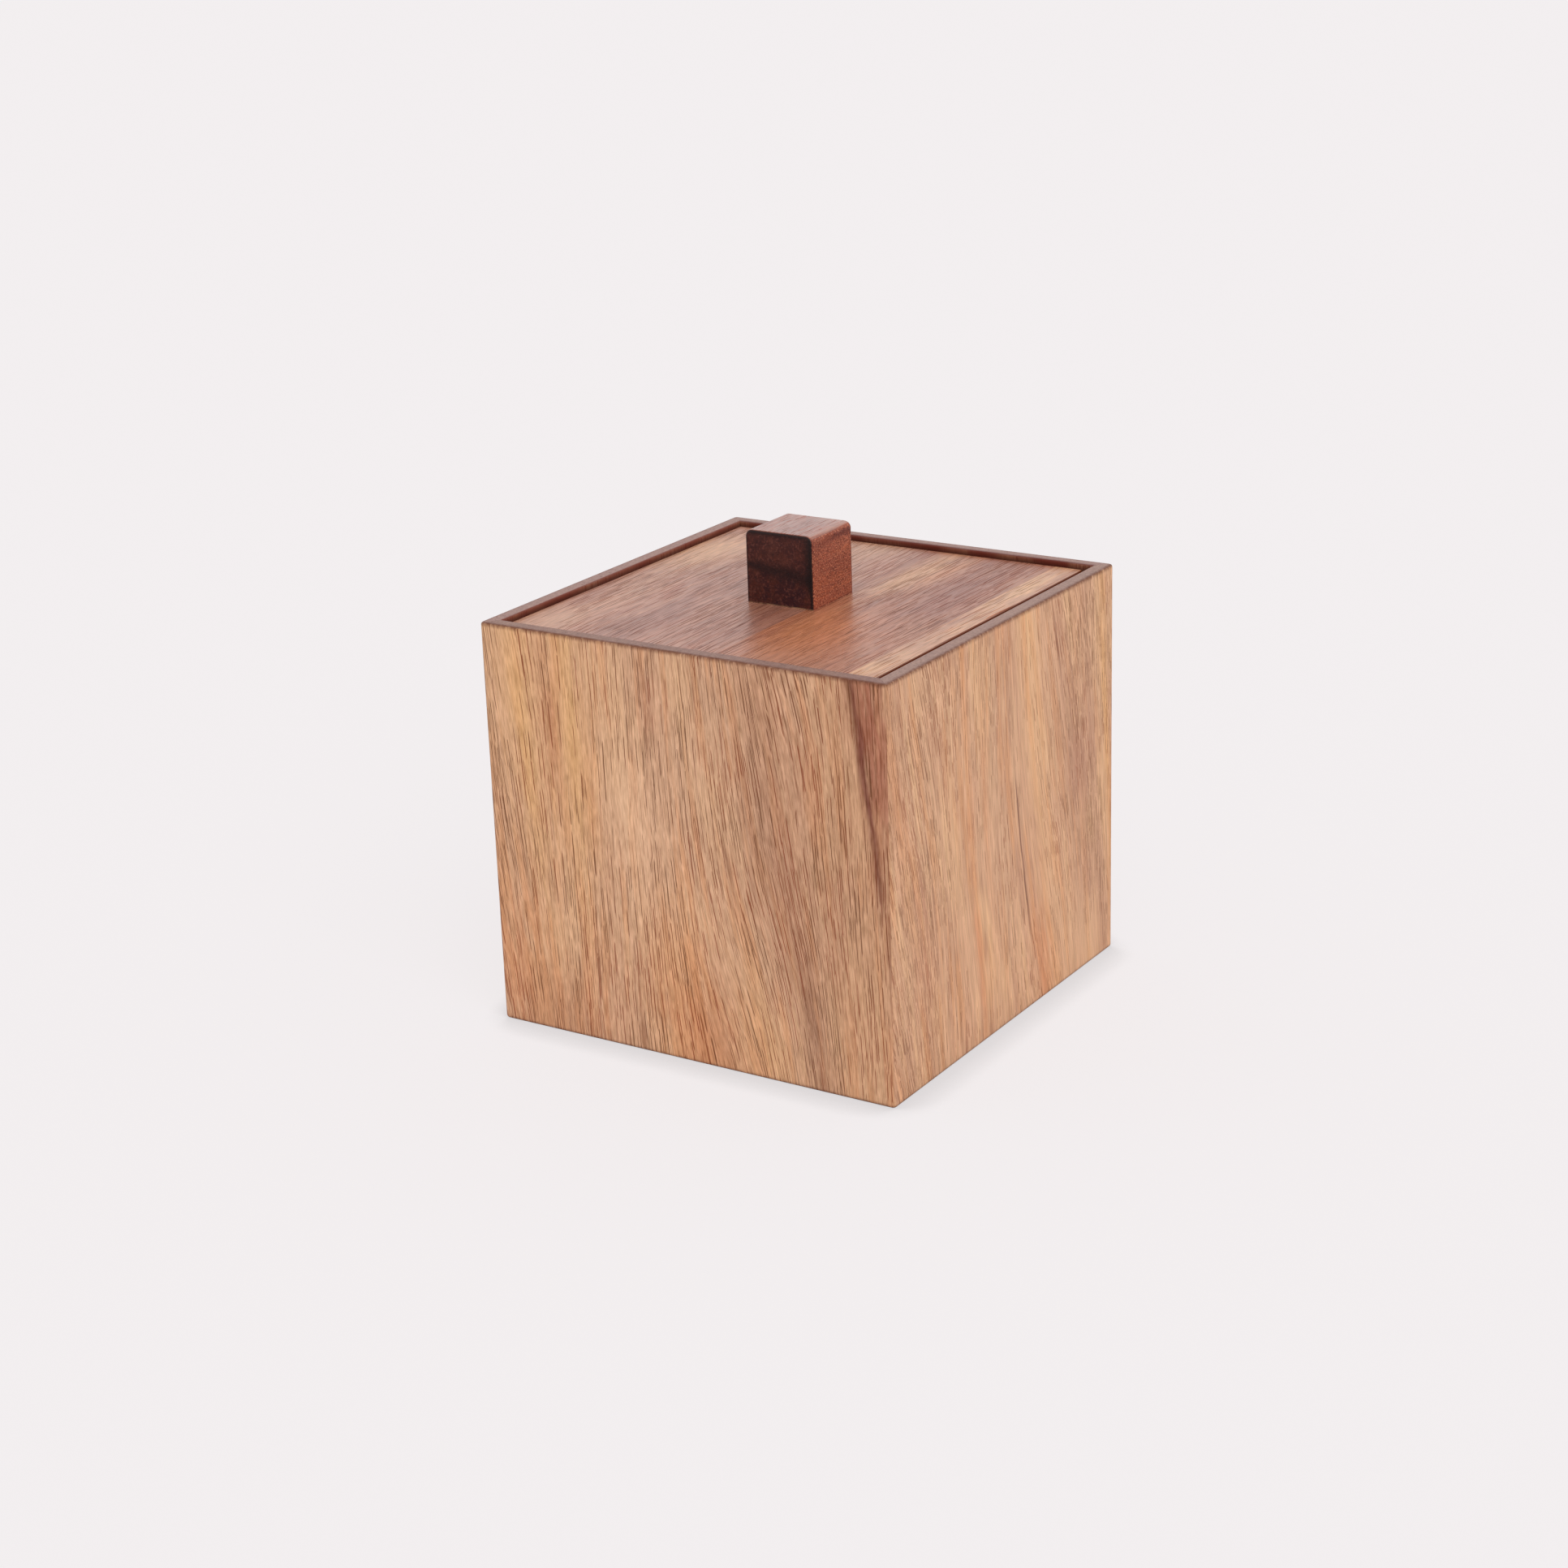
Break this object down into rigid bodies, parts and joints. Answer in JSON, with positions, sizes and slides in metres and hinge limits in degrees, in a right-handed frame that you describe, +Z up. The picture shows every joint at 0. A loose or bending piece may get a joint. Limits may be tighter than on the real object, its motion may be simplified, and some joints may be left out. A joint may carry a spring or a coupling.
{
  "type": "wooden canister",
  "caption": "Square wooden canister with straight mitred walls, a lift-off lid sunk inside the rim and a square knob.",
  "frame": {"origin": "centre of the underside, on the surface that the canister stands on", "axes": "+Z up, +Y to the back, +X to the right. Lid and bottom have their grain along Y, walls along Z."},
  "size_m": [0.1, 0.1, 0.1065],
  "materials": {
    "wall_acacia": "satin oil, upright grain",
    "bottom_acacia": "satin oil",
    "grey_brown_acacia": "satin lacquer",
    "mauve_acacia": "satin lacquer",
    "straw_acacia": "satin lacquer",
    "dark_acacia": "satin lacquer, dark heartwood",
    "dowel_wood": "bare turned hardwood"
  },
  "bodies": {
    "box": {"front_wall": "wall_acacia", "right_wall": "wall_acacia", "back_wall": "wall_acacia", "left_wall": "wall_acacia", "bottom_left_stave": "bottom_acacia", "bottom_middle_stave": "bottom_acacia", "bottom_right_stave": "bottom_acacia"},
    "lid": {"lid_wide_stave": "grey_brown_acacia", "lid_middle_stave": "mauve_acacia", "lid_narrow_stave": "straw_acacia", "knob": "dark_acacia", "knob_dowel": "dowel_wood"}
  },
  "joints": [
    {"name": "lid_lift", "type": "slide", "parent": "box", "child": "lid", "axis": [0, 0, 1], "range_m": [0, 0.1]}
  ]
}
